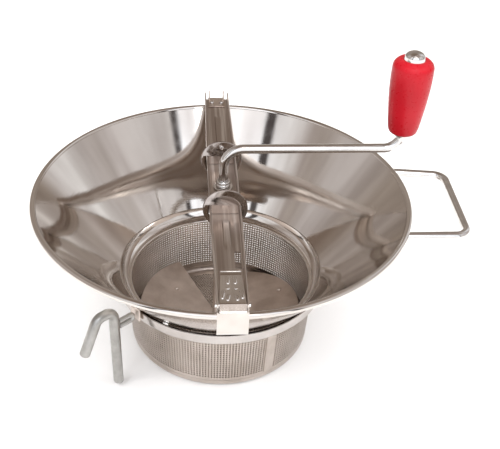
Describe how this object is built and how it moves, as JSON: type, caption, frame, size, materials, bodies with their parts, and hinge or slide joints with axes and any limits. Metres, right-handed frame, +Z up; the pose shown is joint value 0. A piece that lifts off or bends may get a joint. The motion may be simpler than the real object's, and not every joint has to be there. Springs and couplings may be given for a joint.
{
  "type": "rotary food mill",
  "caption": "Large hand-cranked stainless steel food mill: wide cone hopper, perforated basket, crossbar with sprung rotor and bent crank, loop handle and pot hook",
  "frame": {"origin": "middle of the flat underside of the basket's floor, on the crank shaft's axis", "axes": "+Z up along the crank shaft's axis; +X from the shaft towards the loop handle and the crank's grip at rest; +Y along the crossbar towards its fixed hook"},
  "size_m": [0.4239, 0.3828, 0.321],
  "materials": {
    "polished_steel": "mirror-polished stainless sheet",
    "bar_steel": "polished pressed stainless sheet with fine drawing marks",
    "sheet_steel": "bright rolled stainless sheet",
    "sieve_steel": "perforated stainless sheet",
    "rod_steel": "polished stainless rod",
    "satin_rod": "satin stainless rod",
    "spring_steel": "drawn spring wire",
    "red_plastic": "glossy moulded red plastic"
  },
  "bodies": {
    "hopper": {"hopper_bowl": "polished_steel", "throat_ring": "polished_steel", "throat_rivet_1": "rod_steel", "throat_rivet_2": "rod_steel", "throat_rivet_3": "rod_steel", "loop_handle": "rod_steel", "pot_hook": "satin_rod", "pot_hook_stem": "satin_rod", "pot_hook_tab": "sheet_steel", "crossbar_channel": "bar_steel", "front_cheek": "bar_steel", "rear_cheek": "bar_steel", "rear_cheek_stud": "rod_steel", "far_hook": "sheet_steel", "hook_rivet_left": "rod_steel", "hook_rivet_right": "rod_steel", "shaft_bush": "rod_steel", "latch_pin": "rod_steel", "pressure_spring": "spring_steel"},
    "basket": {"sieve_wall": "sieve_steel", "sieve_floor": "sieve_steel", "sieve_band": "polished_steel", "sieve_seam": "sieve_steel", "floor_pivot": "rod_steel"},
    "latch": {"rim_latch": "bar_steel"},
    "seat": {"spring_seat": "rod_steel"},
    "crank": {"crank_rod": "rod_steel", "shaft_collar": "rod_steel", "rotor_hub": "rod_steel", "rotor_blade_1": "sheet_steel", "rotor_blade_2": "sheet_steel", "cotter_pin": "spring_steel", "grip_washer": "rod_steel", "grip_cap": "rod_steel"},
    "grip": {"grip": "red_plastic"}
  },
  "joints": [
    {"name": "basket_twist", "type": "hinge", "parent": "hopper", "child": "basket", "pos_m": [0, 0, 0.074], "axis": [0, 0, 1], "range_deg": [0, 20]},
    {"name": "latch_release", "type": "hinge", "parent": "hopper", "child": "latch", "pos_m": [0, -0.18, 0.1838], "axis": [-1, 0, 0], "range_deg": [0, 9], "stiffness_Nm_per_rad": 0.15, "springref_deg": -20.05},
    {"name": "rotor_lift", "type": "slide", "parent": "hopper", "child": "seat", "axis": [0, 0, 1], "range_m": [0, 0.006], "stiffness_N_per_m": 1500, "springref_m": -0.01, "deforming": ["pressure_spring"]},
    {"name": "crank_turn", "type": "hinge", "parent": "seat", "child": "crank", "pos_m": [0, 0, 0.12], "axis": [0, 0, 1], "continuous": true},
    {"name": "grip_spin", "type": "hinge", "parent": "crank", "child": "grip", "pos_m": [0.17026, 0.00357, 0.27], "axis": [0, 0, 1], "continuous": true}
  ]
}
